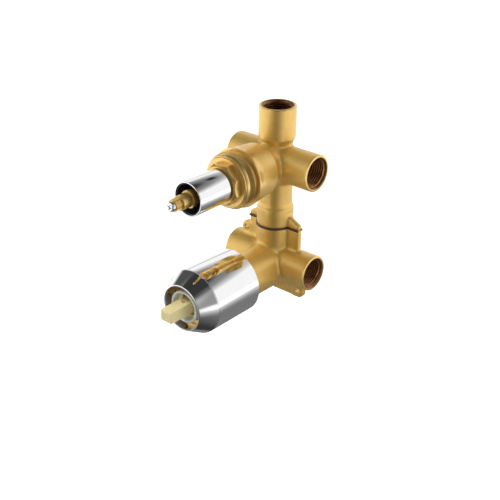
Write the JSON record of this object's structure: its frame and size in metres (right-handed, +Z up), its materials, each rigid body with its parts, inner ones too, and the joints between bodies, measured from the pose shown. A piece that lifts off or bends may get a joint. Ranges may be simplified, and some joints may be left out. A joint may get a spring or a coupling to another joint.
{
  "type": "concealed shower mixer valve",
  "caption": "Concealed shower mixer valve in cast brass: a single-lever mixing cartridge below, a splined diverter with top and side outlets above, chrome sleeves.",
  "frame": {"origin": "centre of the fixing holes: the mixing axis where it crosses the line of the two inlets", "axes": "+X to the right as the user sees it, +Z up, -Y out of the wall towards the user"},
  "size_m": [0.072, 0.1251, 0.1397],
  "materials": {
    "cast_brass": "cast and blasted, satin",
    "turned_brass": "turned, bright",
    "chrome": "polished",
    "rubber": "matte",
    "sealant": "dried bead",
    "ceramic": "lapped",
    "ivory": "moulded, satin",
    "white_plastic": "moulded, satin",
    "black_plastic": "matte",
    "steel": "ground"
  },
  "bodies": {
    "valve": {"upper_casting": "cast_brass", "lower_casting": "cast_brass", "joint_bead": "sealant", "neck_ring": "rubber", "diverter_bonnet": "turned_brass", "bonnet_ring": "rubber", "diverter_seal": "rubber", "diverter_fixed_disc": "ceramic", "slide_washer": "white_plastic", "small_sleeve": "chrome", "small_sleeve_liner": "black_plastic", "cartridge_base": "white_plastic", "base_rings": "rubber", "fixed_disc": "ceramic", "cartridge_housing": "white_plastic", "slip_ring": "white_plastic", "retaining_nut": "turned_brass", "mixing_sleeve": "chrome", "sleeve_ring": "rubber", "dome_cap": "chrome"},
    "diverter_stem": {"spindle": "turned_brass", "spindle_rings": "rubber", "handle_screw": "chrome", "diverter_turning_disc": "ceramic"},
    "mixer_rotor": {"rotor": "ivory", "lever_pin": "steel"},
    "mixer_lever": {"lever": "ivory"},
    "mixer_disc": {"sliding_disc": "ceramic", "disc_carrier": "white_plastic"}
  },
  "joints": [
    {"name": "outlet_choice", "type": "hinge", "parent": "valve", "child": "diverter_stem", "pos_m": [0, -0.06, 0.0762], "axis": [0, -1, 0], "range_deg": [-90, 90]},
    {"name": "temperature", "type": "hinge", "parent": "valve", "child": "mixer_rotor", "pos_m": [0, -0.08, 0], "axis": [0, -1, 0], "range_deg": [-45, 45]},
    {"name": "flow", "type": "hinge", "parent": "mixer_rotor", "child": "mixer_lever", "pos_m": [0, -0.08355, 0], "axis": [-1, 0, 0], "range_deg": [-12.5, 12.5]},
    {"name": "disc_shift", "type": "slide", "parent": "mixer_rotor", "child": "mixer_disc", "axis": [0, 0, -1], "range_m": [-0.002, 0.002]}
  ],
  "couplings": [
    {"joint": "disc_shift", "follows": "flow", "m_per_rad": 0.0091}
  ]
}
